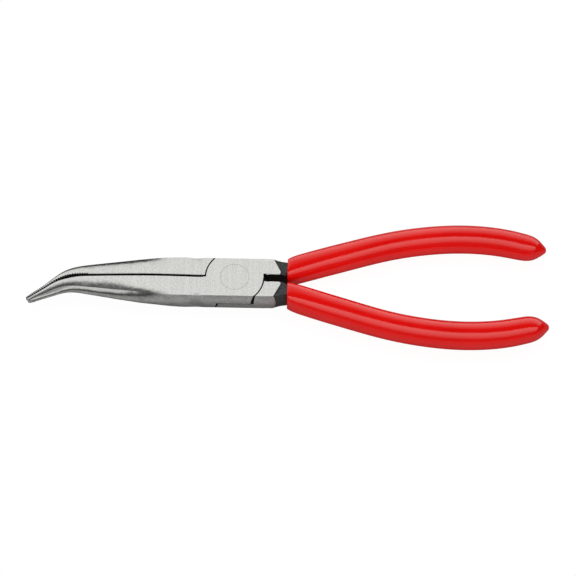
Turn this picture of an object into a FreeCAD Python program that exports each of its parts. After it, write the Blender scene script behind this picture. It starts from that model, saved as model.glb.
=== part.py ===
import FreeCAD, Part
import math
import os

# Bent nose pliers: two half-lapped forgings, a flush rivet and two dipped sleeves.
# X runs along the tool towards the handles, Y towards the back handle, Z up along the rivet.
# The origin is on the rivet's axis, at the lower ground face of the head.

Vec = FreeCAD.Vector

# Head and lap joint
head_thickness = 10.0
head_mid = head_thickness / 2
head_flat_half = 8.05
head_side_half = 9.0
head_reach = 12.0
boss_radius = 11.0
recess_radius = 11.3
lap_clearance = 0.05
slot_half = 1.66

# Rivet
rivet_radius = 4.0
rivet_head_radius = 5.45
rivet_head_depth = 1.6
rivet_head_bevel = 0.07
running_clearance = 0.05

# Jaws
bend_start = 57.2
bend_radius = 23.4
bend_angle = math.radians(33.1)
tip_station = 81.2
tip_round_radius = 1.7
edge_bevel = 0.22
tooth_pitch = 0.88
tooth_depth = 0.36
tooth_half_width = 0.36
tooth_proud = 0.1
first_tooth = 56.5
last_tooth = 81.4

# Each row is one cross-section of the jaws, at a distance along the spine from the rivet:
# station, middle of the gap, half gap, half thickness,
# then for the back jaw and for the front jaw: edge of the top, outer side, fall of the top, power of the fall.
jaw_rows = [
    (12.0, 0.35, 0.40, 5.00, (8.05, 9.00, 0.00, 6.0), (8.05, 9.00, 0.00, 6.0)),
    (18.0, 0.42, 0.40, 5.00, (8.05, 9.00, 0.00, 6.0), (8.05, 9.00, 0.00, 6.0)),
    (23.0, 0.48, 0.40, 5.00, (8.03, 9.00, 0.03, 6.0), (8.00, 9.00, 0.12, 6.0)),
    (26.0, 0.52, 0.40, 5.00, (7.95, 8.95, 0.10, 6.0), (7.85, 8.97, 0.26, 6.0)),
    (29.0, 0.56, 0.40, 4.97, (7.78, 8.78, 0.18, 6.0), (7.55, 9.00, 0.36, 5.5)),
    (32.0, 0.60, 0.40, 4.88, (7.50, 8.50, 0.26, 6.0), (7.15, 8.95, 0.43, 4.9)),
    (36.0, 0.66, 0.40, 4.70, (7.12, 8.12, 0.32, 6.0), (6.65, 8.68, 0.53, 4.0)),
    (40.0, 0.70, 0.40, 4.46, (6.70, 7.75, 0.33, 6.0), (6.10, 8.20, 0.64, 3.0)),
    (44.0, 0.74, 0.40, 4.18, (6.28, 7.40, 0.32, 6.0), (5.60, 7.73, 0.78, 2.3)),
    (48.0, 0.78, 0.40, 3.88, (5.88, 7.03, 0.29, 6.0), (5.08, 7.10, 0.78, 2.0)),
    (52.0, 0.81, 0.40, 3.57, (5.44, 6.60, 0.26, 6.0), (4.56, 6.46, 0.72, 2.0)),
    (56.0, 0.88, 0.45, 3.26, (5.00, 6.14, 0.23, 5.5), (4.15, 5.85, 0.64, 2.0)),
    (60.0, 1.00, 0.55, 2.96, (4.48, 5.48, 0.20, 5.0), (3.60, 5.18, 0.56, 2.0)),
    (64.0, 1.15, 0.62, 2.68, (3.80, 4.70, 0.16, 4.5), (2.72, 4.32, 0.46, 2.0)),
    (68.0, 1.18, 0.34, 2.39, (2.72, 3.30, 0.10, 4.0), (1.95, 3.68, 0.38, 2.0)),
    (72.0, 0.97, 0.18, 2.08, (1.95, 2.38, 0.08, 3.5), (1.42, 2.98, 0.32, 2.0)),
    (76.0, 0.92, 0.16, 1.76, (1.66, 2.02, 0.06, 3.0), (0.92, 2.08, 0.25, 2.0)),
    (80.0, 0.88, 0.16, 1.46, (1.44, 1.70, 0.05, 3.0), (0.54, 1.32, 0.18, 2.0)),
    (82.0, 0.86, 0.16, 1.32, (1.34, 1.58, 0.04, 3.0), (0.36, 1.02, 0.15, 2.0)),
]

# Shanks: X, inner side, edge of flat, outer side, half thickness, bevel of the inner edges
shank_rows = [
    (12.0, 1.52, 8.05, 9.00, 5.00, 0.18),
    (13.6, 1.52, 8.02, 8.95, 5.00, 0.18),
    (15.2, 1.52, 7.82, 8.66, 5.00, 0.18),
    (16.8, 1.53, 7.32, 8.08, 4.97, 0.22),
    (18.4, 1.56, 7.00, 7.72, 4.84, 0.50),
    (20.0, 1.66, 6.86, 7.52, 4.52, 1.25),
    (21.2, 2.05, 6.60, 7.20, 4.20, 1.50),
    (22.4, 2.70, 6.20, 6.80, 3.60, 1.50),
]
flat_end_outer = (15.1, 7.6)
flat_end_inner = (17.6, 2.7)
flat_end_slope = 0.45
flat_end_round = 1.5
shank_step = 0.5
# Slab that holds the forgings between the two ground planes
slab_reach = 150.0
slab_half_width = 50.0
# Groove along the parting line of the two layers, at the sides of the head
groove_reach = 6.6
groove_depth = 0.3
groove_half_height = 0.14
# Relief where the upper and lower recess arcs run out at the side of the head
relief_inner = (8.35, 7.6)
relief_outer = (7.2, 9.4)

# Handle line in plan, the back handle; the front one is its mirror image
handle_line = [
    (19.0, 4.62), (25.2, 6.66), (32.8, 9.2), (40.5, 11.65), (48.1, 14.05), (55.8, 16.35), (63.4, 18.2),
    (71.0, 19.55), (78.7, 20.5), (86.3, 20.9), (93.9, 20.7), (101.6, 19.95), (109.2, 18.3), (113.0, 17.33),
    (116.0, 16.88), (121.0, 16.9),
]
# Tang inside each sleeve: X, half width, half thickness
tang_rows = [
    (20.6, 2.40, 3.40), (25.0, 2.85, 3.75), (31.0, 3.05, 3.85), (38.0, 3.15, 3.75), (46.0, 3.20, 3.70),
    (54.0, 3.20, 3.66), (62.0, 3.15, 3.62), (70.0, 3.10, 3.56), (78.0, 3.04, 3.48), (86.0, 2.96, 3.38),
    (94.0, 2.84, 3.26), (102.0, 2.65, 3.10),
]
# Sleeve: X, half width, half thickness, squareness (2 is an ellipse)
grip_rows = [
    (20.0, 4.25, 4.75, 3.5), (20.9, 4.56, 5.05, 3.3), (22.9, 4.85, 5.38, 3.0), (27.0, 5.00, 5.58, 2.7),
    (33.0, 5.12, 5.66, 2.5), (44.0, 5.16, 5.70, 2.4), (58.0, 5.16, 5.70, 2.3), (72.0, 5.16, 5.70, 2.3),
    (86.0, 5.15, 5.70, 2.3), (98.0, 5.12, 5.66, 2.3), (106.0, 5.05, 5.60, 2.3), (110.0, 4.95, 5.48, 2.3),
    (112.2, 4.84, 5.36, 2.3), (113.8, 4.64, 5.14, 2.3), (115.3, 4.10, 4.56, 2.3), (116.8, 3.26, 3.64, 2.2),
    (118.1, 2.18, 2.44, 2.1), (119.2, 1.22, 1.36, 2.0), (119.8, 0.62, 0.68, 2.0),
]
grip_square_until = 20.0
grip_turned_from = 30.0

# Points of the outlines, and how far cutting shapes run past the faces they cut
side_steps = 10
crown_shares = (0.0, 0.25, 0.45, 0.62, 0.76, 0.87, 0.95, 1.0)
grip_steps = 20
corner_steps = 5
overrun = 1.0


def outer_points(flat, side, half_thickness, roundness=1.0):
    """Offset and height of points round the outer side, from the upper flat to the lower one."""
    points = []
    for i in range(side_steps + 1):
        angle = math.pi * (0.5 - i / side_steps)
        swell = max(math.cos(angle), 0.0) ** (2 * roundness)
        points.append((flat + (side - flat) * swell, half_thickness * math.sin(angle)))
    return points


def spline_edge(points):
    curve = Part.BSplineCurve()
    curve.interpolate(points)
    return curve.toShape()


def section(place, inner, flat, side, half_thickness, bevel, fall=0.0, power=2.0, roundness=1.0):
    """One closed D-shaped wire: flat inner side, top and bottom that fall towards the outer side, which
    is rounded. place(offset, height) gives the point in space."""
    sign = 1 if side > inner else -1
    start = inner + sign * bevel
    crown = []
    for share in crown_shares:
        crown.append((start + share * (flat - start), half_thickness - fall * share ** power))
    outer = outer_points(flat, side, half_thickness - fall, roundness)
    edges = [
        Part.makeLine(place(inner, bevel - half_thickness), place(inner, half_thickness - bevel)),
        Part.makeLine(place(inner, half_thickness - bevel), place(start, half_thickness)),
        spline_edge([place(offset, height) for offset, height in crown]),
        spline_edge([place(offset, height) for offset, height in outer]),
        spline_edge([place(offset, -height) for offset, height in reversed(crown)]),
        Part.makeLine(place(start, -half_thickness), place(inner, bevel - half_thickness)),
    ]
    return Part.Wire(edges)


def spine(station):
    """Point and turn of the line the jaws follow: straight, bent, then straight to the tip."""
    turn = min(max((station - bend_start) / bend_radius, 0.0), bend_angle)
    straight = min(station, bend_start)
    beyond = max(station - bend_start - bend_radius * bend_angle, 0.0)
    x = -straight - bend_radius * math.sin(turn) - beyond * math.cos(turn)
    y = -bend_radius * (1 - math.cos(turn)) - beyond * math.sin(turn)
    return x, y, turn


def on_jaw(station):
    x, y, turn = spine(station)

    def place(offset, height):
        return Vec(x - offset * math.sin(turn), y + offset * math.cos(turn), head_mid + height)
    return place


def jaw_value(station, column):
    """A value of the jaw table between two rows."""
    for low, high in zip(jaw_rows, jaw_rows[1:]):
        if station <= high[0]:
            share = (station - low[0]) / (high[0] - low[0])
            return low[column] + share * (high[column] - low[column])
    return jaw_rows[-1][column]


def make_jaw(side):
    """The jaw on the back (side 1) or front (side -1), before its teeth are cut."""
    wires = []
    for station, middle, gap, half, back, front in jaw_rows:
        flat, outer, fall, power = back if side > 0 else front
        place = on_jaw(station)
        inner = middle + side * gap
        wires.append(section(place, inner, side * flat, side * outer, half, edge_bevel, fall, power))
    return Part.makeLoft(wires, True, False)


def jaw_teeth(side):
    """The V grooves across one gripping face."""
    grooves = []
    count = int((last_tooth - first_tooth) / tooth_pitch) + 1
    for i in range(count):
        station = first_tooth + i * tooth_pitch
        x, y, turn = spine(station)
        face = jaw_value(station, 1) + side * jaw_value(station, 2)
        ahead = Vec(-math.cos(turn), -math.sin(turn), 0)
        across = Vec(-math.sin(turn), math.cos(turn), 0)
        base = Vec(x, y, -overrun) + across * (face - side * tooth_proud)
        wide = tooth_half_width * (1 + tooth_proud / tooth_depth)
        tip = base + across * (side * (tooth_depth + tooth_proud))
        outline = Part.makePolygon([base - ahead * wide, base + ahead * wide, tip, base - ahead * wide])
        grooves.append(Part.Face(outline).extrude(Vec(0, 0, head_thickness + 2 * overrun)))
    return Part.makeCompound(grooves)


def tip_waste():
    """What is cut away to round the end of the nose in plan."""
    centre_station = tip_station - tip_round_radius
    x, y, turn = spine(centre_station)
    middle = jaw_value(centre_station, 1)
    centre = Vec(x - middle * math.sin(turn), y + middle * math.cos(turn), -overrun)
    reach = 3 * tip_round_radius
    block = Part.makeBox(reach, 2 * reach, head_thickness + 2 * overrun, Vec(0, -reach, 0))
    block.rotate(Vec(0, 0, 0), Vec(0, 0, 1), 180 + math.degrees(turn))
    block.translate(centre)
    round_end = Part.makeCylinder(tip_round_radius, head_thickness + 2 * overrun, centre)
    return block.cut(round_end)


def across_head(x):
    def place(offset, height):
        return Vec(x, offset, head_mid + height)
    return place


def make_head_blank():
    """The full width of the head: flat faces and swelling sides."""
    place = across_head(-head_reach)
    outer = outer_points(head_flat_half, head_side_half, head_mid)
    back = spline_edge([place(offset, height) for offset, height in outer])
    front = spline_edge([place(-offset, height) for offset, height in outer])
    upper = Part.makeLine(place(-head_flat_half, head_mid), place(head_flat_half, head_mid))
    lower = Part.makeLine(place(-head_flat_half, -head_mid), place(head_flat_half, -head_mid))
    wire = Part.Wire(Part.__sortEdges__([upper, back, lower, front]))
    return Part.Face(wire).extrude(Vec(2 * head_reach, 0, 0))


def handle_curve(side):
    curve = Part.BSplineCurve()
    curve.interpolate([Vec(x, side * y, head_mid) for x, y in handle_line])
    return curve


def on_handle(curve, side, x, straight_until=0.0, turned_from=0.1):
    """Placing function at the given X of a handle line; offsets grow away from the tool's axis.
    Up to straight_until the section stays square to X, and from turned_from it is square to the line."""
    low, high = curve.FirstParameter, curve.LastParameter
    for _ in range(50):
        middle = (low + high) / 2
        if curve.value(middle).x < x:
            low = middle
        else:
            high = middle
    point = curve.value(low)
    share = min(max((x - straight_until) / (turned_from - straight_until), 0.0), 1.0)
    along = curve.tangent(low)[0]
    heading = share * math.atan2(along.y, along.x)
    across = Vec(-math.sin(heading), math.cos(heading), 0) * side

    def place(offset, height):
        return point + across * offset + Vec(0, 0, height)
    return place


def make_shank(side):
    """The bare shank between the joint and the sleeve."""
    wires = []
    for x, inner, flat, outer, half, bevel in shank_rows:
        wires.append(section(across_head(x), side * inner, side * flat, side * outer, half, bevel))
    return Part.makeLoft(wires, True, False)


def make_tang(side):
    """The tang that runs on inside the sleeve."""
    curve = handle_curve(side)
    wires = []
    for x, half_width, half in tang_rows:
        place = on_handle(curve, side, x)
        flat = 0.55 * half_width
        wires.append(section(place, -half_width, flat, half_width, half, edge_bevel, roundness=0.6))
    return Part.makeLoft(wires, True, False)


def quadratic(start, middle, end, share):
    """A value on the curve that leaves start, heads for middle and arrives at end."""
    return (1 - share) ** 2 * start + 2 * share * (1 - share) * middle + share ** 2 * end


def flat_end_waste(side, level):
    """What is taken off above (level 1) or below (level -1) the shank, past the ground flat."""
    def outline(shift, height):
        (outer_x, outer_y), (inner_x, inner_y) = flat_end_outer, flat_end_inner
        lean = (inner_x - outer_x) / (outer_y - inner_y)
        corner = inner_x + lean * (inner_y - slot_half)
        start_x, start_y = inner_x - lean * flat_end_round * 0.5, inner_y + flat_end_round * 0.5
        plan = [(outer_x - lean * 4, outer_y + 4), (start_x, start_y)]
        for i in range(1, corner_steps + 1):
            share = i / corner_steps
            plan.append((quadratic(start_x, corner, corner - 1.0, share),
                         quadratic(start_y, slot_half, slot_half - 0.1, share)))
        plan.append((corner - 1.0, slot_half - 3))
        points = [Vec(x + shift, side * y, head_mid + level * height) for x, y in plan]
        points += [Vec(60, side * y, head_mid + level * height) for y in (slot_half - 3, outer_y + 4)]
        return Part.makePolygon(points + points[:1])
    low = outline(flat_end_slope, head_mid - shank_step)
    high = outline(-flat_end_slope, head_mid + shank_step)
    return Part.makeLoft([low, high], True, True)


def layer_cylinder(radius, level, clearance):
    """A cylinder on the rivet's axis filling the layer above (level 1) or below (level -1) the lap plane."""
    start = head_mid + clearance
    if level > 0:
        return Part.makeCylinder(radius, head_thickness + overrun - start, Vec(0, 0, start))
    return Part.makeCylinder(radius, start + overrun, Vec(0, 0, -overrun))


def side_relief(side, level):
    """The wider cleft at the side of the head, in the layer above (level 1) or below (level -1)."""
    (inner_x, inner_y), (outer_x, outer_y) = relief_inner, relief_outer
    near_x = math.sqrt(boss_radius ** 2 - outer_y ** 2) - 0.6
    plan = [(inner_x, inner_y), (outer_x, outer_y), (near_x, outer_y), (inner_x - 1.0, inner_y)]
    points = [Vec(x, side * y, head_mid + level * lap_clearance / 2) for x, y in plan]
    outline = Part.makePolygon(points + points[:1])
    return Part.Face(outline).extrude(Vec(0, 0, level * head_thickness))


def parting_groove():
    """Fine grooves along the sides of the head, where the two layers meet."""
    height = 2 * groove_half_height
    grooves = []
    for side in (1, -1):
        start = head_side_half - groove_depth if side > 0 else -head_side_half - overrun
        corner = Vec(-groove_reach, start, head_mid - groove_half_height)
        grooves.append(Part.makeBox(2 * groove_reach, groove_depth + overrun, height, corner))
    return Part.makeCompound(grooves)


def corner_box(x_low, x_high, inner, side):
    """Everything from x_low to x_high that lies outward of the inner plane on one side."""
    width = 2 * head_side_half
    y = inner if side > 0 else inner - width
    return Part.makeBox(x_high - x_low, width, head_thickness + 2 * overrun, Vec(x_low, y, -overrun))


def ground_slab():
    """The space between the two ground planes; no steel stands above or below them."""
    corner = Vec(-slab_reach, -slab_half_width, 0)
    return Part.makeBox(2 * slab_reach, 2 * slab_half_width, head_thickness, corner)


def make_half(jaw_side, level):
    """One forging. jaw_side says which jaw it carries, level which layer of the joint is its own."""
    shank_side = -jaw_side
    half_lap = level * lap_clearance / 2
    head = make_head_blank()
    gap_face = jaw_rows[0][1] + jaw_side * jaw_rows[0][2]
    jaw_root = head.common(corner_box(-head_reach - overrun, 0, gap_face, jaw_side))
    shank_root = head.common(corner_box(0, head_reach + overrun, shank_side * slot_half, shank_side))
    shank_root = shank_root.cut(side_relief(shank_side, -level))
    recess = layer_cylinder(recess_radius, -level, half_lap)
    boss = head.common(layer_cylinder(boss_radius, level, half_lap))
    shank = make_shank(shank_side)
    for face in (1, -1):
        shank = shank.cut(flat_end_waste(shank_side, face))
    tang = make_tang(shank_side)
    jaw = make_jaw(jaw_side).cut(jaw_teeth(jaw_side)).cut(tip_waste())
    body = jaw_root.fuse([shank_root]).cut(recess).fuse([boss, jaw, shank, tang])
    return body.cut(parting_groove()).common(ground_slab())


def rivet_tool(clearance, head_level):
    """The hole for the rivet through one layer, with the seat of its head on that layer's face."""
    hole = Part.makeCylinder(rivet_radius + clearance, head_thickness + 2 * overrun, Vec(0, 0, -overrun))
    depth = rivet_head_depth + clearance
    start = head_thickness - depth if head_level > 0 else -overrun
    seat = Part.makeCylinder(rivet_head_radius + clearance, depth + overrun, Vec(0, 0, start))
    return hole.fuse(seat)


def make_rivet():
    shank = Part.makeCylinder(rivet_radius, head_thickness)
    wide, bevel = rivet_head_radius, rivet_head_bevel
    lower = Part.makeCylinder(wide, rivet_head_depth - bevel, Vec(0, 0, bevel))
    lower_edge = Part.makeCone(wide - bevel, wide, bevel)
    upper = Part.makeCylinder(wide, rivet_head_depth - bevel, Vec(0, 0, head_thickness - rivet_head_depth))
    upper_edge = Part.makeCone(wide, wide - bevel, bevel, Vec(0, 0, head_thickness - bevel))
    return shank.fuse([lower, lower_edge, upper, upper_edge]).removeSplitter()


def grip_wire(place, half_width, half_thickness, squareness):
    points = []
    for i in range(grip_steps):
        angle = 2 * math.pi * i / grip_steps
        c, s = math.cos(angle), math.sin(angle)
        power = 2 / squareness
        offset = half_width * math.copysign(abs(c) ** power, c)
        height = half_thickness * math.copysign(abs(s) ** power, s)
        points.append(place(offset, height))
    curve = Part.BSplineCurve()
    curve.interpolate(points, True)
    return Part.Wire([curve.toShape()])


def make_grip(side, tang):
    curve = handle_curve(side)
    wires = []
    for x, half_width, half, squareness in grip_rows:
        place = on_handle(curve, side, x, grip_square_until, grip_turned_from)
        wires.append(grip_wire(place, half_width, half, squareness))
    return Part.makeLoft(wires, True, False).cut(tang)


os.makedirs("parts", exist_ok=True)
front_jaw_half = make_half(-1, 1).cut(rivet_tool(0, 1))
back_jaw_half = make_half(1, -1).cut(rivet_tool(running_clearance, -1))
shapes = {
    "front_jaw_half": front_jaw_half,
    "back_jaw_half": back_jaw_half,
    "pivot_rivet": make_rivet(),
    "back_grip": make_grip(1, front_jaw_half),
    "front_grip": make_grip(-1, back_jaw_half),
}
for name, shape in shapes.items():
    if shape.ShapeType == "Compound" and len(shape.Solids) == 1:
        shape = shape.Solids[0]
    print(name, shape.ShapeType, len(shape.Solids), shape.isValid(), round(shape.Volume, 1), shape.BoundBox)
    shape.exportStep("parts/" + name + ".step")
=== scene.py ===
import math

import bmesh
import bpy
from mathutils import Matrix, Vector
from mathutils.bvhtree import BVHTree


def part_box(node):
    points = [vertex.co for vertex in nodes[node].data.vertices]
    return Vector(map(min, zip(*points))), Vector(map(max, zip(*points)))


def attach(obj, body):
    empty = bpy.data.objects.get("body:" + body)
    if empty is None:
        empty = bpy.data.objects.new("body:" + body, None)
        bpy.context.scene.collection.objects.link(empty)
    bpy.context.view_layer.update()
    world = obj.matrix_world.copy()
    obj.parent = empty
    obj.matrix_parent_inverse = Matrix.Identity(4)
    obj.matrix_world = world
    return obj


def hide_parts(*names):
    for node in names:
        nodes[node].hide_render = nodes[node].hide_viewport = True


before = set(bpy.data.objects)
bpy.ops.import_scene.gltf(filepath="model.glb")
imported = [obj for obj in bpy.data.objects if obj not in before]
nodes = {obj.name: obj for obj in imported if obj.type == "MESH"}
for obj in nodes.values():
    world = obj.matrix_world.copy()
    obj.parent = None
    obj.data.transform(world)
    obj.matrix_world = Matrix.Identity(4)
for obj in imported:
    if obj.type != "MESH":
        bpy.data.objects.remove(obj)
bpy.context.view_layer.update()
MM = 0.001

# ---------------------------------------------------------------- places read from the frame


def size_of(name):
    """Lowest and highest corner of a CAD node, as vectors."""
    low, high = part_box(name)
    return Vector(low), Vector(high)


rivet_low, rivet_high = size_of("pivot_rivet")
HEAD_LOW = rivet_low.z
HEAD_TOP = rivet_high.z
HEAD_MID = (HEAD_LOW + HEAD_TOP) / 2
HEAD_HALF = (HEAD_TOP - HEAD_LOW) / 2
FLOOR_Z = min(size_of(name)[0].z for name in nodes)

# ---------------------------------------------------------------- node helpers


class Shader:
    """A short way of writing procedural materials."""

    def __init__(self, name):
        self.material = bpy.data.materials.new(name)
        self.material.use_nodes = True
        self.tree = self.material.node_tree
        self.bsdf = self.tree.nodes["Principled BSDF"]
        places = self.tree.nodes.new("ShaderNodeTexCoord").outputs
        self.coordinates = places["Object"]
        self.own_normal = places["Normal"]

    def node(self, kind, **settings):
        node = self.tree.nodes.new(kind)
        for key, value in settings.items():
            setattr(node, key, value)
        return node

    def put(self, value, socket):
        if isinstance(value, bpy.types.NodeSocket):
            self.tree.links.new(value, socket)
        elif value is not None:
            socket.default_value = value

    def math(self, operation, a, b=None, c=None, clamp=False):
        node = self.node("ShaderNodeMath", operation=operation, use_clamp=clamp)
        for value, socket in zip((a, b, c), node.inputs):
            self.put(value, socket)
        return node.outputs[0]

    def axes(self, vector=None):
        node = self.node("ShaderNodeSeparateXYZ")
        self.put(vector or self.coordinates, node.inputs[0])
        return node.outputs

    def stretched(self, x, y, z):
        """Object coordinates multiplied per axis: features per metre along each."""
        node = self.node("ShaderNodeVectorMath", operation="MULTIPLY")
        self.put(self.coordinates, node.inputs[0])
        node.inputs[1].default_value = (x, y, z)
        return node.outputs[0]

    def noise(self, vector, scale=1.0, detail=3.0, roughness=0.5):
        node = self.node("ShaderNodeTexNoise")
        self.put(vector, node.inputs["Vector"])
        node.inputs["Scale"].default_value = scale
        node.inputs["Detail"].default_value = detail
        node.inputs["Roughness"].default_value = roughness
        return node.outputs["Fac"]

    def ramp(self, value, low, high, to_low=0.0, to_high=1.0):
        """A smooth step from to_low, where value is low, to to_high, where it is high."""
        node = self.node("ShaderNodeMapRange", interpolation_type="SMOOTHSTEP")
        for socket, number in zip(node.inputs, (value, low, high, to_low, to_high)):
            self.put(number, socket)
        return node.outputs[0]

    def fall(self, value, full, none):
        """1 where value is below full, 0 where it is above none."""
        return self.ramp(value, full, none, 1.0, 0.0)

    def mix(self, share, a, b):
        node = self.node("ShaderNodeMix", data_type="RGBA")
        self.put(share, node.inputs["Factor"])
        for value, socket in ((a, node.inputs[6]), (b, node.inputs[7])):
            self.put((*value, 1.0) if isinstance(value, tuple) else value, socket)
        return node.outputs[2]

    def blend(self, share, a, b):
        node = self.node("ShaderNodeMix", data_type="FLOAT")
        self.put(share, node.inputs["Factor"])
        self.put(a, node.inputs[2])
        self.put(b, node.inputs[3])
        return node.outputs[0]

    def mix_normals(self, share, a, b):
        node = self.node("ShaderNodeMix", data_type="VECTOR")
        self.put(share, node.inputs["Factor"])
        self.put(a, node.inputs[4])
        self.put(b, node.inputs[5])
        return node.outputs[1]

    def bump(self, height, distance, strength, normal=None):
        node = self.node("ShaderNodeBump")
        node.inputs["Strength"].default_value = strength
        node.inputs["Distance"].default_value = distance
        self.put(height, node.inputs["Height"])
        self.put(normal, node.inputs["Normal"])
        return node.outputs[0]

    def set(self, **inputs):
        for key, value in inputs.items():
            name = key.replace("_", " ")
            self.put((*value, 1.0) if isinstance(value, tuple) else value, self.bsdf.inputs[name])


# ---------------------------------------------------------------- where the steel's finish changes and shade is painted

# The ground faces end behind the head on two slanted lines, rounded at the slot between the shanks.
FLAT_END_X = 14.95 * MM
FLAT_END_Y = 7.6 * MM
FLAT_END_LEAN = 0.51
CORNER_FROM = 2.9 * MM
CORNER_CURVE = 600.0
SIDE_END_SHIFT = 1.2 * MM
WANDER_GRAIN = 900
WANDER = 0.16 * MM
BLACK_EDGE = 0.10 * MM


def black_mask(s):
    """1 on the unground forged surfaces of the shanks."""
    x, y, z = s.axes()
    aside = s.math("ABSOLUTE", y)
    line = s.math("MULTIPLY_ADD", aside, -FLAT_END_LEAN, FLAT_END_X + FLAT_END_LEAN * FLAT_END_Y)
    near_slot = s.math("SUBTRACT", CORNER_FROM, s.math("MINIMUM", aside, CORNER_FROM))
    rounding = s.math("MULTIPLY", s.math("MULTIPLY", near_slot, near_slot), CORNER_CURVE)
    line = s.math("SUBTRACT", line, rounding)
    height = s.math("DIVIDE", s.math("SUBTRACT", z, HEAD_MID), HEAD_HALF)
    swell = s.math("SUBTRACT", 1.0, s.math("MULTIPLY", height, height), clamp=True)
    edge = s.math("MULTIPLY_ADD", swell, SIDE_END_SHIFT, line)
    past = s.math("SUBTRACT", x, edge)
    wander = s.noise(s.stretched(WANDER_GRAIN, WANDER_GRAIN, WANDER_GRAIN), detail=2.0)
    past = s.math("ADD", past, s.math("MULTIPLY_ADD", wander, WANDER, -WANDER / 2))
    return s.ramp(past, 0.0, BLACK_EDGE)


LINE_SOFT = 0.06 * MM


def band(s, value, middle, half, soft=LINE_SOFT):
    """1 where value lies within half of middle, with soft edges."""
    away = s.math("ABSOLUTE", s.math("SUBTRACT", value, middle))
    return s.fall(away, half - soft, half + soft)


def from_axis(s):
    """Distance from the rivet's axis."""
    x, y, _ = s.axes()
    return s.math("SQRT", s.math("ADD", s.math("MULTIPLY", x, x), s.math("MULTIPLY", y, y)))


# How far up a face's normal points, where the mask of a steep face is full and where it has ended
CLEFT_STEEP = (0.3, 0.5)
SLOT_STEEP = (0.35, 0.6)
GAP_STEEP = (0.3, 0.6)
SIDE_STEEP = (0.48, 0.60)

SEAM_RADIUS = 11.15 * MM
SEAM_HALF = 0.26 * MM
CLEFT_INNER = 10.9 * MM
CLEFT_OUTER = 12.1 * MM
CLEFT_SOFT = 0.05 * MM
CLEFT_FACING = (0.25, 0.4)


def boss_seam(s, facing, level):
    """1 where a boss meets the other half: on the arc, and on the walls of its clefts. Painted shade goes
    there.
    """
    x, y, z = s.axes()
    across = s.math("MULTIPLY", s.math("MULTIPLY", x, y), s.math("SUBTRACT", z, HEAD_MID))
    opened = s.math("LESS_THAN", across, 0.0)
    radius = from_axis(s)
    arc = band(s, radius, SEAM_RADIUS, SEAM_HALF)
    cleft = band(s, radius, (CLEFT_INNER + CLEFT_OUTER) / 2, (CLEFT_OUTER - CLEFT_INNER) / 2, CLEFT_SOFT)
    end_wall = s.ramp(s.math("ABSOLUTE", facing[0]), *CLEFT_FACING)
    wall = s.math("MULTIPLY", s.fall(level, *CLEFT_STEEP), end_wall)
    return s.math("MULTIPLY", opened, s.math("MAXIMUM", arc, s.math("MULTIPLY", cleft, wall)))


SIDE_SEAM_X = 6.7 * MM
SIDE_SEAM_Y = 8.3 * MM
SIDE_SEAM_HALF = 0.20 * MM
SIDE_SEAM_END = 0.1 * MM


def side_seam(s):
    """1 on the joint's line along the two sides of the head, where shade is painted."""
    x, y, z = s.axes()
    beside_rivet = s.fall(s.math("ABSOLUTE", x), SIDE_SEAM_X, SIDE_SEAM_X + SIDE_SEAM_END)
    on_side = s.math("GREATER_THAN", s.math("ABSOLUTE", y), SIDE_SEAM_Y)
    line = band(s, z, HEAD_MID, SIDE_SEAM_HALF)
    return s.math("MULTIPLY", s.math("MULTIPLY", beside_rivet, on_side), line)


SLOT_FROM_X = 10.8 * MM
SLOT_HALF = 1.75 * MM
AREA_SOFT = 0.2 * MM


def slot_walls(s, level):
    """1 on the walls of the slot between the shanks, where shade is painted."""
    x, y, _ = s.axes()
    behind_boss = s.ramp(x, SLOT_FROM_X, SLOT_FROM_X + AREA_SOFT)
    between = s.fall(s.math("ABSOLUTE", y), SLOT_HALF, SLOT_HALF + AREA_SOFT)
    return s.math("MULTIPLY", s.math("MULTIPLY", behind_boss, between), s.fall(level, *SLOT_STEEP))


def seam_mask(s, facing, level):
    """1 where shade is painted: in the seams where the halves meet, and on the slot's walls."""
    joint = s.math("MAXIMUM", boss_seam(s, facing, level), side_seam(s))
    return s.math("MAXIMUM", slot_walls(s, level), joint)


GAP_UNTIL_X = -10.9 * MM
GAP_FACING = (0.25, 0.5)


def gap_mask(s, facing, level, jaw_side):
    """1 on the toothed faces between the jaws, which are darker steel and carry painted shade of the gap.
    """
    inward = s.ramp(s.math("MULTIPLY", facing[1], -jaw_side), *GAP_FACING)
    on_jaw = s.fall(s.axes()[0], GAP_UNTIL_X, GAP_UNTIL_X + AREA_SOFT)
    return s.math("MULTIPLY", s.math("MULTIPLY", inward, on_jaw), s.fall(level, *GAP_STEEP))


RIVET_RADIUS = rivet_high.x
RIVET_LINE_HALF = 0.13 * MM


def rivet_line(s):
    """1 on the thin line round the flush head of the rivet, where the shade of its seam is painted."""
    return band(s, from_axis(s), RIVET_RADIUS, RIVET_LINE_HALF)


# ---------------------------------------------------------------- materials

# Features per metre. The grinding marks run across the tool, so they are narrow along X and long along Y.
BRUSH_GRAIN = (5200, 150, 150)
HEAD_STREAK_GRAIN = (1500, 60, 60)
RIVET_STREAK_GRAIN = (1700, 70, 70)
SPECK_GRAIN = (2600, 1300, 1300)
MOTTLE_GRAIN = (1500, 1900, 1900)
PATCH_GRAIN = (260, 420, 520)
CLOUD_GRAIN = 60
OXIDE_GRAIN = 1400
RIPPLE_GRAIN = (90, 160, 160)
PEEL_GRAIN = 1100
RED_CLOUD_GRAIN = 45

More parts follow.
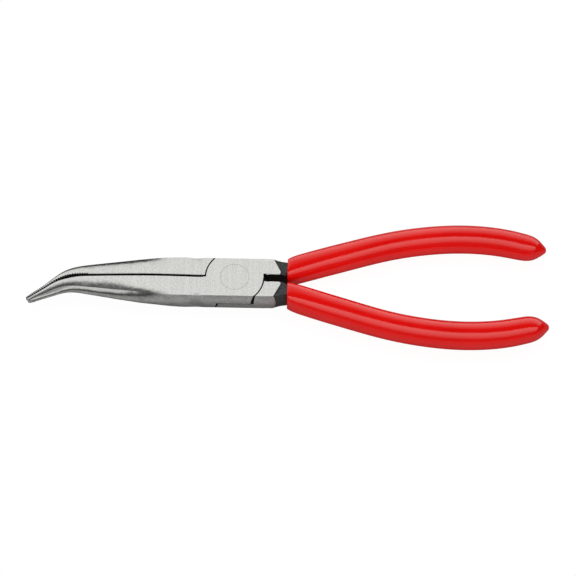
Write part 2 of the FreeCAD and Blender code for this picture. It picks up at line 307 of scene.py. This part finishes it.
HEAD_STREAKS = ((0.58, 0.58, 0.56), (0.65, 0.65, 0.63))
RIVET_STREAKS = ((0.575, 0.575, 0.555), (0.645, 0.645, 0.625))
CLOUD = (0.605, 0.605, 0.58)
CLOUD_SHARE = 0.3
DARK_SPECK = (0.54, 0.54, 0.525)
LIGHT_SPECK = (0.67, 0.67, 0.655)
# painted shade in the seam round the rivet's head
RIVET_RING_SHADE = (0.36, 0.36, 0.35)
RIVET_RING_SHADE_SHARE = 0.36
# the side faces' base is brighter than the ground faces': painted light on the sides; the mottle is the
# steel's own
LIT_SIDE_MOTTLE = ((0.62, 0.62, 0.61), (0.98, 0.98, 0.965))
SIDE_PATCH = (0.46, 0.46, 0.45)
PATCH_SHARE = 0.38
BLACK_OXIDE = ((0.040, 0.041, 0.042), (0.105, 0.107, 0.108))
# the toothed faces: darker steel, and painted shade of the narrow gap between the jaws
GRIPPING_FACE_AND_GAP_SHADE = ((0.10, 0.10, 0.10), (0.17, 0.17, 0.168))
# painted shade in the seams, the clefts and the slot
SEAM_SHADE = (0.010, 0.010, 0.010)
RED = ((0.70, 0.0028, 0.0022), (0.75, 0.0042, 0.0030))

GROUND_ROUGHNESS = (0.215, 0.255)
OXIDE_ROUGHNESS = (0.38, 0.55)
GRIPPING_ROUGHNESS = 0.36
OXIDE_METALLIC = 0.4
RED_ROUGHNESS = (0.11, 0.16)
RED_IOR = 1.55


def brush_marks(s):
    """Fine grinding marks: their noise, and the bump that they make."""
    grain = s.noise(s.stretched(*BRUSH_GRAIN), detail=4.0, roughness=0.6)
    return grain, s.bump(grain, distance=0.010 * MM, strength=0.03)


def ground_face(s, streak_grain, streaks, clouded):
    """Bright ground steel with streaks and specks, and a ring of painted shade round the rivet."""
    streak = s.noise(s.stretched(*streak_grain), detail=3.0, roughness=0.55)
    face = s.mix(s.ramp(streak, 0.36, 0.64), *streaks)
    if clouded:
        cloud = s.noise(s.coordinates, scale=CLOUD_GRAIN, detail=3.0)
        face = s.mix(s.ramp(cloud, 0.35, 0.7, 0.0, CLOUD_SHARE), face, CLOUD)
    speck = s.noise(s.stretched(*SPECK_GRAIN), detail=3.0, roughness=0.7)
    face = s.mix(s.ramp(speck, 0.51, 0.62), face, DARK_SPECK)
    face = s.mix(s.fall(speck, 0.38, 0.49), face, LIGHT_SPECK)
    # a ring of painted shade round the rivet's head
    return s.mix(s.math("MULTIPLY", rivet_line(s), RIVET_RING_SHADE_SHARE), face, RIVET_RING_SHADE)


def side_face(s, mottle):
    """Steel of the side faces, mottled and patchy; its base is set brighter than the ground faces' as
    painted light.
    """
    face = s.mix(s.ramp(mottle, 0.3, 0.7), *LIT_SIDE_MOTTLE)
    patch = s.noise(s.stretched(*PATCH_GRAIN), detail=3.0, roughness=0.6)
    return s.mix(s.ramp(patch, 0.42, 0.62, 0.0, PATCH_SHARE), face, SIDE_PATCH)


def forged_steel(name, jaw_side):
    """Ground faces, sides with painted light, black shanks, darker toothed faces and seams with painted
    shade.
    """
    s = Shader(name)
    facing = s.axes(s.own_normal)
    level = s.math("ABSOLUTE", facing[2])
    grain, ground_bump = brush_marks(s)
    mottle = s.noise(s.stretched(*MOTTLE_GRAIN), detail=4.0, roughness=0.6)
    spots = s.noise(s.coordinates, scale=OXIDE_GRAIN, detail=4.0, roughness=0.65)
    black = black_mask(s)
    seam = seam_mask(s, facing, level)
    gap = gap_mask(s, facing, level, jaw_side)
    unground = s.math("MAXIMUM", black, seam)

    ground = ground_face(s, HEAD_STREAK_GRAIN, HEAD_STREAKS, clouded=True)
    # the steep side faces get a brighter base than the ground faces: painted light
    steel = s.mix(s.fall(level, *SIDE_STEEP), ground, side_face(s, mottle))
    oxide = s.mix(s.ramp(spots, 0.35, 0.7), *BLACK_OXIDE)
    # the toothed faces are darker steel, darkened further as painted shade of the narrow gap
    toothed_face_and_shade = s.mix(s.ramp(mottle, 0.3, 0.7), *GRIPPING_FACE_AND_GAP_SHADE)
    color = s.mix(gap, s.mix(black, steel, oxide), toothed_face_and_shade)

    rough = s.blend(gap, s.ramp(grain, 0.2, 0.8, *GROUND_ROUGHNESS), GRIPPING_ROUGHNESS)
    oxide_rough = s.ramp(spots, 0.3, 0.7, *OXIDE_ROUGHNESS)
    oxide_bump = s.bump(spots, distance=0.05 * MM, strength=0.6)
    # painted shade in the seams, the clefts and the slot's walls
    s.set(Base_Color=s.mix(seam, color, SEAM_SHADE),
          Roughness=s.blend(unground, rough, oxide_rough),
          Metallic=s.blend(unground, 1.0, OXIDE_METALLIC),
          Normal=s.mix_normals(black, ground_bump, oxide_bump))
    return s.material


def rivet_steel():
    """The rivet's heads, ground flush with the head of the tool."""
    s = Shader("rivet_steel")
    grain, ground_bump = brush_marks(s)
    s.set(Base_Color=ground_face(s, RIVET_STREAK_GRAIN, RIVET_STREAKS, clouded=False),
          Roughness=s.ramp(grain, 0.2, 0.8, *GROUND_ROUGHNESS),
          Metallic=1.0,
          Normal=ground_bump)
    return s.material


def dipped_red():
    """Glossy dipped plastic with slow ripples and a faint orange peel."""
    s = Shader("dipped_red")
    ripple = s.noise(s.stretched(*RIPPLE_GRAIN), detail=2.0)
    peel = s.noise(s.coordinates, scale=PEEL_GRAIN, detail=2.0)
    cloud = s.noise(s.coordinates, scale=RED_CLOUD_GRAIN, detail=3.0)
    rippled = s.bump(ripple, distance=0.10 * MM, strength=0.35)
    s.set(Base_Color=s.mix(s.ramp(cloud, 0.3, 0.7), *RED),
          Roughness=s.ramp(peel, 0.3, 0.7, *RED_ROUGHNESS),
          Normal=s.bump(peel, distance=0.006 * MM, strength=0.4, normal=rippled),
          IOR=RED_IOR)
    return s.material


# ---------------------------------------------------------------- sleeves

GRIP_STATIONS = 72
GRIP_AROUND = 48
FIRST_STATION = 0.0015
STATION_SPAN = 0.9965
CLEAR_OF_TOOL = 100 * MM
SMOOTHING_PASSES = 4
# How square the sleeve's section is (2 is an ellipse) at places along X
GRIP_SQUARENESS = ((20.0 * MM, 3.5), (20.9 * MM, 3.3), (22.9 * MM, 3.0), (27.0 * MM, 2.7), (33.0 * MM, 2.5),
                   (44.0 * MM, 2.4), (58.0 * MM, 2.3), (115.3 * MM, 2.3), (119.8 * MM, 2.0))


def squareness_at(x):
    """The squareness read from the table above, in a straight line between its places."""
    for (low_x, low), (high_x, high) in zip(GRIP_SQUARENESS, GRIP_SQUARENESS[1:]):
        if x < high_x:
            share = min(max((x - low_x) / (high_x - low_x), 0.0), 1.0)
            return low + (high - low) * share
    return GRIP_SQUARENESS[-1][1]


def measured_stations(name, side):
    """Centre, half width and half thickness of a CAD sleeve at places along X."""
    node = nodes[name]
    mesh = node.data
    tree = BVHTree.FromPolygons([v.co for v in mesh.vertices], [p.vertices for p in mesh.polygons])
    low, high = size_of(name)
    far = CLEAR_OF_TOOL
    stations = []
    for i in range(GRIP_STATIONS + 1):
        # closer together towards the two ends
        share = 0.5 - 0.5 * math.cos(math.pi * (i / GRIP_STATIONS))
        x = low.x + (high.x - low.x) * (FIRST_STATION + STATION_SPAN * share)
        inner = tree.ray_cast(Vector((x, 0, HEAD_MID)), Vector((0, side, 0)), far)[0]
        outer = tree.ray_cast(Vector((x, side * far, HEAD_MID)), Vector((0, -side, 0)), far)[0]
        if inner is None or outer is None:
            continue
        middle = (inner.y + outer.y) / 2
        top = tree.ray_cast(Vector((x, middle, far)), Vector((0, 0, -1)), 2 * far)[0]
        stations.append((x, middle, abs(outer.y - inner.y) / 2, top.z - HEAD_MID))
    return stations


def smooth_columns(rows, passes):
    """The same rows with every column but X averaged with its neighbours, passes times."""
    rows = [list(row) for row in rows]
    for _ in range(passes):
        before = [row[:] for row in rows]
        for i in range(2, len(rows) - 2):
            for k in (1, 2, 3):
                rows[i][k] = (before[i - 1][k] + 2 * before[i][k] + before[i + 1][k]) / 4
    return rows


def ring(bm, x, y, half_width, half_thickness, heading, side):
    """One rounded, squarish section of a sleeve, square to its heading."""
    across = Vector((-math.sin(heading), math.cos(heading), 0)) * side
    verts = []
    power = 2 / squareness_at(x)
    for i in range(GRIP_AROUND):
        angle = 2 * math.pi * i / GRIP_AROUND
        c, s = math.cos(angle), math.sin(angle)
        offset = half_width * math.copysign(abs(c) ** power, c)
        height = half_thickness * math.copysign(abs(s) ** power, s)
        verts.append(bm.verts.new(Vector((x, y, HEAD_MID + height)) + across * offset))
    return verts


def bridge(bm, low, high):
    """A band of faces between two rings."""
    for i in range(GRIP_AROUND):
        j = (i + 1) % GRIP_AROUND
        bm.faces.new((low[i], low[j], high[j], high[i]))


HEADING_LENGTH = 10 * MM


def sleeve_rings(bm, rows, side):
    """Rings that stand across the tool at the front and soon follow the handle's own line."""
    rings = []
    for i, (x, y, half_width, half_thickness) in enumerate(rows):
        before, after = rows[max(i - 1, 0)], rows[min(i + 1, len(rows) - 1)]
        slope = math.atan2(after[1] - before[1], after[0] - before[0])
        turned = min(max((x - rows[0][0]) / HEADING_LENGTH, 0.0), 1.0)
        heading = slope * turned
        width = half_width * math.cos(slope) / math.cos(slope - heading)
        rings.append(ring(bm, x, y, width, half_thickness, heading, side))
    return rings


LIP_FORWARD = 0.08 * MM
# How far in from the sleeve's outside, and how deep, each step of the front end lies
LIP_STEPS = ((0.10 * MM, 0.0), (0.35 * MM, 0.12 * MM), (0.8 * MM, 0.30 * MM), (1.6 * MM, 0.45 * MM))


def close_front(bm, front_ring, row, side):
    """A rolled lip and a shallow cup that meets the shank."""
    x, y, half_width, half_thickness = row
    outer = front_ring
    for inset, depth in LIP_STEPS:
        inner = ring(bm, x + depth - LIP_FORWARD, y, half_width - inset, half_thickness - inset, 0, side)
        bridge(bm, inner, outer)
        outer = inner
    bm.faces.new(outer)


def close_end(bm, last_ring, point):
    """A fan of faces from the last ring to the sleeve's point."""
    pole = bm.verts.new(point)
    for i in range(GRIP_AROUND):
        j = (i + 1) % GRIP_AROUND
        bm.faces.new((last_ring[i], last_ring[j], pole))


END_INSET = 0.02 * MM


def make_grip(name, side, material):
    """The smooth sleeve that stands for a CAD sleeve, on the side of +Y (1) or -Y (-1)."""
    rows = smooth_columns(measured_stations(name, side), SMOOTHING_PASSES)
    bm = bmesh.new()
    rings = sleeve_rings(bm, rows, side)
    for low, high in zip(rings, rings[1:]):
        bridge(bm, low, high)
    close_front(bm, rings[0], rows[0], side)
    close_end(bm, rings[-1], (size_of(name)[1].x - END_INSET, rows[-1][1], HEAD_MID))
    bmesh.ops.recalc_face_normals(bm, faces=bm.faces)
    mesh = bpy.data.meshes.new(name + "_sleeve")
    bm.to_mesh(mesh)
    bm.free()
    for polygon in mesh.polygons:
        polygon.use_smooth = True
    mesh.materials.append(material)
    piece = bpy.data.objects.new(name + "_sleeve", mesh)
    bpy.context.scene.collection.objects.link(piece)
    subdivision = piece.modifiers.new("smooth", "SUBSURF")
    subdivision.levels = 1
    subdivision.render_levels = 1
    return piece


# ---------------------------------------------------------------- the pieces and their finishes

finishes = {
    "front_jaw_half": forged_steel("forged_steel_front", -1),
    "back_jaw_half": forged_steel("forged_steel_back", 1),
    "pivot_rivet": rivet_steel(),
}
for name, material in finishes.items():
    nodes[name].data.materials.clear()
    nodes[name].data.materials.append(material)
metal_parts = [nodes[name] for name in finishes]

red = dipped_red()
sleeves = []
for name, side, body in (("back_grip", 1, "front_half"), ("front_grip", -1, "back_half")):
    sleeve = make_grip(name, side, red)
    sleeves.append(sleeve)
    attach(sleeve, body)
    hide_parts(name)

# ---------------------------------------------------------------- studio

AIM = Vector((0.020, 0.0, HEAD_MID))
CAMERA_DISTANCE = 0.9
CAMERA_ELEVATION = math.radians(61.94)
CAMERA_AZIMUTH = math.radians(-0.72)
CAMERA_ROLL = math.radians(0.40)
CAMERA_LENS = 146.8
CAMERA_SHIFT = (0.0017, -0.0069)
SENSOR_WIDTH = 36
CLIP_START = 0.01


def make_camera():
    """A long lens that looks down at the aim from the front."""
    e, a = CAMERA_ELEVATION, CAMERA_AZIMUTH
    forward = Vector((math.sin(a) * math.cos(e), math.cos(a) * math.cos(e), -math.sin(e)))
    right = Vector((math.cos(a), -math.sin(a), 0))
    up = right.cross(forward)
    tilted_right = right * math.cos(CAMERA_ROLL) + up * math.sin(CAMERA_ROLL)
    tilted_up = up * math.cos(CAMERA_ROLL) - right * math.sin(CAMERA_ROLL)
    turn = Matrix((tilted_right, tilted_up, -forward)).transposed()
    data = bpy.data.cameras.new("camera")
    data.lens = CAMERA_LENS
    data.sensor_width = SENSOR_WIDTH
    data.clip_start = CLIP_START
    data.shift_x, data.shift_y = CAMERA_SHIFT
    camera = bpy.data.objects.new("camera", data)
    camera.matrix_world = Matrix.Translation(AIM - forward * CAMERA_DISTANCE) @ turn.to_4x4()
    bpy.context.scene.collection.objects.link(camera)
    bpy.context.scene.camera = camera


METAL_TINT = (1.0, 1.0, 0.995)
SLEEVE_TINT = (1.0, 0.995, 0.95)


def panel_light(name, front, back, width, radiance, receivers, tint, fade=(), spin=0.0):
    """A soft panel as long as width along X, between its front and back edges given as (Y, Z),
    then turned by spin about the vertical through the aim. fade lists the share of the radiance
    at places from the front edge (0) to the back edge (1)."""
    front, back = Vector((0, *front)), Vector((0, *back))
    along = back - front
    depth = along.length
    along.normalize()
    data = bpy.data.lights.new(name, "AREA")
    data.shape = "RECTANGLE"
    data.size = width
    data.size_y = depth
    data.energy = radiance * math.pi * width * depth
    data.color = tint
    if fade:
        data.use_nodes = True
        tree = data.node_tree
        emission = tree.nodes["Emission"]
        split = tree.nodes.new("ShaderNodeSeparateXYZ")
        tree.links.new(tree.nodes.new("ShaderNodeNewGeometry").outputs["Parametric"], split.inputs[0])
        ramp = tree.nodes.new("ShaderNodeValToRGB")
        tree.links.new(split.outputs[1], ramp.inputs[0])
        tree.links.new(ramp.outputs[0], emission.inputs["Color"])
        stops = ramp.color_ramp.elements
        stops[0].position, stops[1].position = fade[0][0], fade[-1][0]
        for place, _ in fade[1:-1]:
            stops.new(place)
        for stop, (_, value) in zip(stops, fade):
            stop.color = (value, value, value, 1)
    light = bpy.data.objects.new(name, data)
    aside = Vector((1, 0, 0))
    turn = Matrix((aside, along, aside.cross(along))).transposed()
    standing = Matrix.Translation((front + back) / 2) @ turn.to_4x4()
    light.matrix_world = Matrix.Translation((AIM.x, 0, 0)) @ Matrix.Rotation(spin, 4, "Z") @ standing
    bpy.context.scene.collection.objects.link(light)
    lit = bpy.data.collections.new(name + "_lit")
    for piece in receivers:
        lit.objects.link(piece)
    light.light_linking.receiver_collection = lit
    return light


FLOOR_HALF = 3.0
FLOOR_SEGMENTS = 8
FLOOR_DROP = 0.1 * MM
FLOOR_WHITE = (0.92, 0.92, 0.92)
FLOOR_WHITE_SEEN = (0.14, 0.14, 0.14)
FLOOR_GLOW_SEEN = 0.97
FLOOR_GLOW_BOUNCE = 0.06
FLOOR_GLOW_DIFFUSE = 0.20


def make_floor():
    """A pale floor: near white to the camera, dimmer to the rays that light the object."""
    bm = bmesh.new()
    bmesh.ops.create_grid(bm, x_segments=FLOOR_SEGMENTS, y_segments=FLOOR_SEGMENTS, size=FLOOR_HALF)
    mesh = bpy.data.meshes.new("floor")
    bm.to_mesh(mesh)
    bm.free()
    floor = bpy.data.objects.new("floor", mesh)
    floor.location.z = FLOOR_Z - FLOOR_DROP
    bpy.context.scene.collection.objects.link(floor)
    s = Shader("floor_white")
    s.tree.nodes.remove(s.bsdf)
    path = s.node("ShaderNodeLightPath").outputs
    seen = path["Is Camera Ray"]
    diffuse = s.node("ShaderNodeBsdfDiffuse")
    s.put(s.mix(seen, FLOOR_WHITE, FLOOR_WHITE_SEEN), diffuse.inputs["Color"])
    glow = s.node("ShaderNodeEmission")
    bounce = s.math("MULTIPLY_ADD", path["Is Diffuse Ray"], FLOOR_GLOW_DIFFUSE, FLOOR_GLOW_BOUNCE)
    s.put(s.blend(seen, bounce, FLOOR_GLOW_SEEN), glow.inputs["Strength"])
    both = s.node("ShaderNodeAddShader")
    s.put(diffuse.outputs[0], both.inputs[0])
    s.put(glow.outputs[0], both.inputs[1])
    s.put(both.outputs[0], s.tree.nodes["Material Output"].inputs["Surface"])
    mesh.materials.append(s.material)
    return floor


WORLD_STRENGTH = 0.04


def make_world():
    """A faint even light from all round."""
    world = bpy.data.worlds.new("studio")
    world.use_nodes = True
    background = world.node_tree.nodes["Background"]
    background.inputs["Color"].default_value = (1, 1, 1, 1)
    background.inputs["Strength"].default_value = WORLD_STRENGTH
    bpy.context.scene.world = world


def light_steel(parts, floor):
    """Panels for the steel. The overhead one also lights the floor."""
    panel_light("metal_overhead", front=(0.15, 1.0), back=(0.82, 1.0), width=2.4, radiance=1.11,
                receivers=parts + [floor], tint=METAL_TINT)
    panel_light("metal_front", front=(-1.25, 0.52), back=(-0.98, 0.92), width=2.2, radiance=0.92,
                receivers=parts, tint=METAL_TINT)
    panel_light("metal_between", front=(-0.92, 1.0), back=(-0.34, 1.0), width=2.4, radiance=0.42,
                receivers=parts, tint=METAL_TINT)
    for name, spin in (("metal_right", math.radians(90)), ("metal_left", math.radians(-90))):
        panel_light(name, front=(-1.5, 0.15), back=(-1.1, 1.15), width=2.1, radiance=0.85,
                    receivers=parts, tint=METAL_TINT, spin=spin)


def light_sleeves(parts):
    """Panels for the sleeves: two that show as soft highlights, and one that only fills."""
    panel_light("sleeve_back", front=(0.50, 1.0), back=(1.45, 0.15), width=3.6, radiance=1.9,
                receivers=parts, tint=SLEEVE_TINT,
                fade=((0.0, 0.10), (0.22, 0.62), (0.50, 0.95), (0.80, 1.0), (1.0, 1.0)))
    panel_light("sleeve_top", front=(-1.60, 0.92), back=(-0.03, 1.3), width=3.6, radiance=1.85,
                receivers=parts, tint=SLEEVE_TINT,
                fade=((0.0, 0.1), (0.30, 0.42), (0.52, 0.66), (0.78, 1.0), (1.0, 0.9)))
    fill = panel_light("sleeve_fill", front=(-1.45, 0.05), back=(-0.95, 1.05), width=2.6, radiance=1.0,
                       receivers=parts, tint=SLEEVE_TINT)
    fill.visible_glossy = False


make_camera()
floor = make_floor()
make_world()
# The steel and the sleeves have panels of their own, because their highlights ask for different ones.
light_steel(metal_parts, floor)
light_sleeves(sleeves)
bpy.context.scene.view_settings.view_transform = "Standard"
